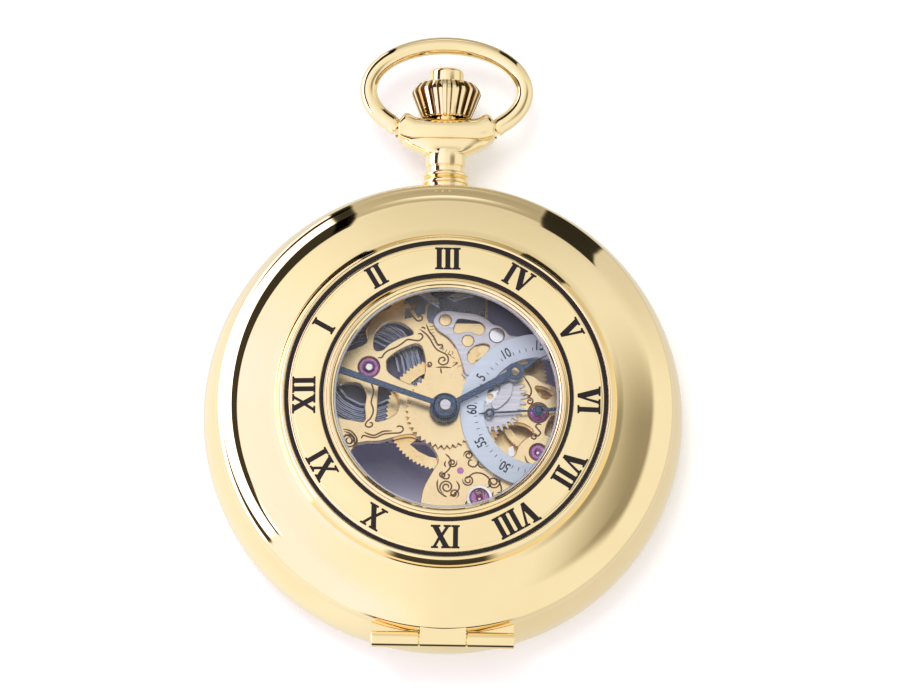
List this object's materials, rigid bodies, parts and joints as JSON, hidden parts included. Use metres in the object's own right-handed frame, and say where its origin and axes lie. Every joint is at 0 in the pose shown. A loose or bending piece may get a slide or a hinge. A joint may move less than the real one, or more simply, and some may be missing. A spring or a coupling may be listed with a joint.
{
  "type": "pocket watch",
  "caption": "Half-hunter pocket watch: round hinged case with a windowed lid, bow and fluted crown over a skeletonised hand-wound movement.",
  "frame": {"origin": "centre of the flat ring of the back that the watch lies on", "axes": "+Z out of the dial, +Y along the winding stem to the crown and bow, -Y the lid hinge, XII of the dial towards -X and VI towards +X"},
  "size_m": [0.05, 0.0663, 0.0143],
  "materials": {
    "case_gold": "polished gold plate",
    "plate_gold": "engraved gilt",
    "wheel_brass": "brushed",
    "steel": "satin",
    "spring_steel": "satin",
    "blued_steel": "blued",
    "dial_blue": "matt pale blue",
    "ruby": "polished synthetic ruby",
    "crystal": "clear polished"
  },
  "bodies": {
    "case": {"case_band": "case_gold", "pendant": "case_gold", "inner_bezel": "case_gold", "main_crystal": "crystal", "back_bezel": "case_gold", "back_crystal": "crystal", "movement_ring": "plate_gold", "lock_spring": "spring_steel", "lift_spring": "spring_steel", "hinge_pin": "case_gold", "case_screw_1": "steel", "case_screw_2": "steel", "setting_lever_spring": "steel", "click_spring": "spring_steel", "main_plate": "plate_gold", "train_bridge": "plate_gold", "balance_cock": "plate_gold", "pallet_bridge": "plate_gold", "seconds_ring": "dial_blue", "barrel_jewel": "ruby", "third_jewel": "ruby", "seconds_jewel": "ruby", "escape_jewel": "ruby", "balance_jewel": "ruby"},
    "lid": {"front_lid": "case_gold", "chapter_ring": "case_gold", "lid_bezel": "case_gold", "lid_crystal": "crystal"},
    "bow_ring": {"bow": "case_gold"},
    "catch": {"lid_catch": "steel"},
    "stem_pinions": {"winding_pinion": "steel", "sliding_pinion": "steel"},
    "crown_and_stem": {"crown": "case_gold", "winding_stem": "steel"},
    "button": {"release_button": "case_gold"},
    "set_lever": {"setting_lever": "steel"},
    "yoke_lever": {"yoke": "steel"},
    "winding_wheel": {"crown_wheel": "steel"},
    "ratchet": {"ratchet_wheel": "steel", "barrel_arbor": "steel"},
    "pawl": {"click": "steel"},
    "mainspring_barrel": {"barrel": "wheel_brass", "mainspring": "spring_steel"},
    "centre": {"centre_wheel": "wheel_brass"},
    "third": {"third_wheel": "wheel_brass"},
    "fourth": {"fourth_wheel": "wheel_brass", "seconds_hand": "blued_steel"},
    "escape": {"escape_wheel": "steel"},
    "fork": {"pallet_fork": "steel"},
    "balance": {"balance_wheel": "wheel_brass", "hairspring": "spring_steel"},
    "minute": {"cannon_pinion": "steel", "minute_hand": "blued_steel"},
    "minute_gear": {"minute_wheel": "wheel_brass"},
    "hour": {"hour_wheel": "wheel_brass", "hour_hand": "blued_steel"},
    "setting_gear": {"setting_wheel": "steel"}
  },
  "joints": [
    {"name": "lid_hinge", "type": "hinge", "parent": "case", "child": "lid", "pos_m": [0, -0.0246, 0.0086], "axis": [1, 0, 0], "range_deg": [0, 95]},
    {"name": "bow_swing", "type": "hinge", "parent": "case", "child": "bow_ring", "pos_m": [0, 0.0304, 0.0052], "axis": [1, 0, 0], "range_deg": [-100, 100]},
    {"name": "crown_turn", "type": "hinge", "parent": "case", "child": "stem_pinions", "pos_m": [0, 0.015, 0.0052], "axis": [0, 1, 0], "continuous": true},
    {"name": "crown_pull", "type": "slide", "parent": "stem_pinions", "child": "crown_and_stem", "axis": [0, 1, 0], "range_m": [0, 0.0008]},
    {"name": "button_press", "type": "slide", "parent": "crown_and_stem", "child": "button", "axis": [0, -1, 0], "range_m": [0, 0.0006], "stiffness_N_per_m": 300},
    {"name": "catch_slide", "type": "slide", "parent": "case", "child": "catch", "axis": [0, -1, 0], "range_m": [0, 0.0006]},
    {"name": "setting_lever_turn", "type": "hinge", "parent": "case", "child": "set_lever", "pos_m": [0.0026, 0.0131, 0.007], "axis": [0, 0, 1], "range_deg": [-19, 1]},
    {"name": "yoke_turn", "type": "hinge", "parent": "case", "child": "yoke_lever", "pos_m": [-0.003, 0.0134, 0.007], "axis": [0, 0, 1], "range_deg": [-10, 1]},
    {"name": "crown_wheel_turn", "type": "hinge", "parent": "case", "child": "winding_wheel", "pos_m": [0, 0.01152, 0.00275], "axis": [0, 0, 1], "continuous": true},
    {"name": "ratchet_turn", "type": "hinge", "parent": "case", "child": "ratchet", "pos_m": [-0.0079, 0.0046, 0.00275], "axis": [0, 0, 1], "continuous": true},
    {"name": "click_lift", "type": "hinge", "parent": "case", "child": "pawl", "pos_m": [-0.0126, 0.0107, 0.00275], "axis": [0, 0, 1], "range_deg": [0, 8], "stiffness_Nm_per_rad": 0.0002},
    {"name": "seconds_turn", "type": "hinge", "parent": "case", "child": "fourth", "pos_m": [0.0098, 0, 0.005], "axis": [0, 0, 1], "continuous": true},
    {"name": "third_turn", "type": "hinge", "parent": "case", "child": "third", "pos_m": [0.00529, 0.0042, 0.005], "axis": [0, 0, 1], "continuous": true},
    {"name": "centre_turn", "type": "hinge", "parent": "case", "child": "centre", "pos_m": [0, 0, 0.005], "axis": [0, 0, 1], "continuous": true},
    {"name": "barrel_turn", "type": "hinge", "parent": "case", "child": "mainspring_barrel", "pos_m": [-0.0079, 0.0046, 0.005], "axis": [0, 0, 1], "continuous": true},
    {"name": "escape_turn", "type": "hinge", "parent": "case", "child": "escape", "pos_m": [0.0098, -0.0042, 0.006], "axis": [0, 0, 1], "continuous": true},
    {"name": "fork_rock", "type": "hinge", "parent": "case", "child": "fork", "pos_m": [0.00756, -0.00605, 0.006], "axis": [0, 0, 1], "range_deg": [-5, 5]},
    {"name": "balance_swing", "type": "hinge", "parent": "case", "child": "balance", "pos_m": [0.00375, -0.0092, 0.005], "axis": [0, 0, 1], "range_deg": [-270, 270], "stiffness_Nm_per_rad": 0.0000005},
    {"name": "minute_turn", "type": "hinge", "parent": "case", "child": "minute", "pos_m": [0, 0, 0.009], "axis": [0, 0, 1], "continuous": true},
    {"name": "minute_wheel_turn", "type": "hinge", "parent": "case", "child": "minute_gear", "pos_m": [0.00476, 0.00155, 0.008], "axis": [0, 0, 1], "continuous": true},
    {"name": "hour_turn", "type": "hinge", "parent": "case", "child": "hour", "pos_m": [0, 0, 0.009], "axis": [0, 0, 1], "continuous": true},
    {"name": "setting_wheel_turn", "type": "hinge", "parent": "case", "child": "setting_gear", "pos_m": [0.00215, 0.00606, 0.008], "axis": [0, 0, 1], "continuous": true}
  ],
  "couplings": [
    {"joint": "catch_slide", "follows": "button_press", "ratio": 1},
    {"joint": "setting_lever_turn", "follows": "crown_pull", "rad_per_m": -400},
    {"joint": "yoke_turn", "follows": "crown_pull", "rad_per_m": -200},
    {"joint": "crown_wheel_turn", "follows": "crown_turn", "ratio": 0.35294},
    {"joint": "ratchet_turn", "follows": "crown_turn", "ratio": -0.24},
    {"joint": "third_turn", "follows": "seconds_turn", "ratio": -0.13333},
    {"joint": "centre_turn", "follows": "seconds_turn", "ratio": 0.016667},
    {"joint": "barrel_turn", "follows": "seconds_turn", "ratio": -0.0027778},
    {"joint": "escape_turn", "follows": "seconds_turn", "ratio": -10},
    {"joint": "minute_wheel_turn", "follows": "minute_turn", "ratio": -0.33333},
    {"joint": "hour_turn", "follows": "minute_turn", "ratio": 0.083333},
    {"joint": "setting_wheel_turn", "follows": "minute_turn", "ratio": 0.85714}
  ]
}
